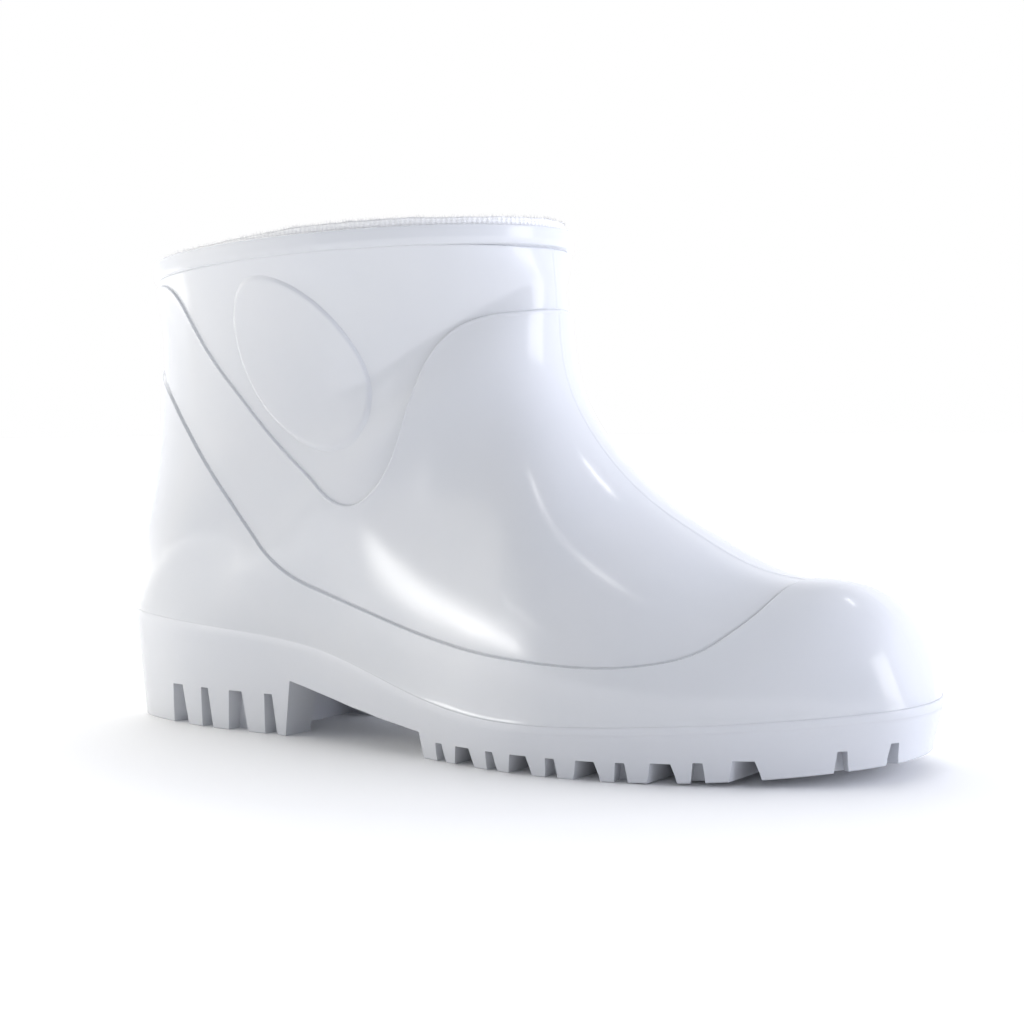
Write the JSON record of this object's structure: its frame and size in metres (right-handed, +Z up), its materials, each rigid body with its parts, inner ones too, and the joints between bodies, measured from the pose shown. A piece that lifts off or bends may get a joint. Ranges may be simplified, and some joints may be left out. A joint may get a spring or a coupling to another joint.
{
  "type": "short work boot",
  "caption": "Short slip-on work boot for the right foot, moulded whole, with a shaped upper, a rolled collar band, ankle pads, a heel and a lugged sole.",
  "frame": {"origin": "on the floor under the middle of the boot's bounding box", "axes": "+X from heel to toe, +Y to the inner side of the right foot, +Z up"},
  "size_m": [0.3006, 0.1072, 0.1675],
  "materials": {
    "upper": "glossy moulded PVC, white with a cool grey cast",
    "outsole": "moulded PVC, satin gloss, white with a cool grey cast",
    "insole": "matt knitted cloth, pale grey"
  },
  "bodies": {
    "root": {"outsole": "outsole", "upper": "upper", "insole": "insole"}
  },
  "joints": []
}
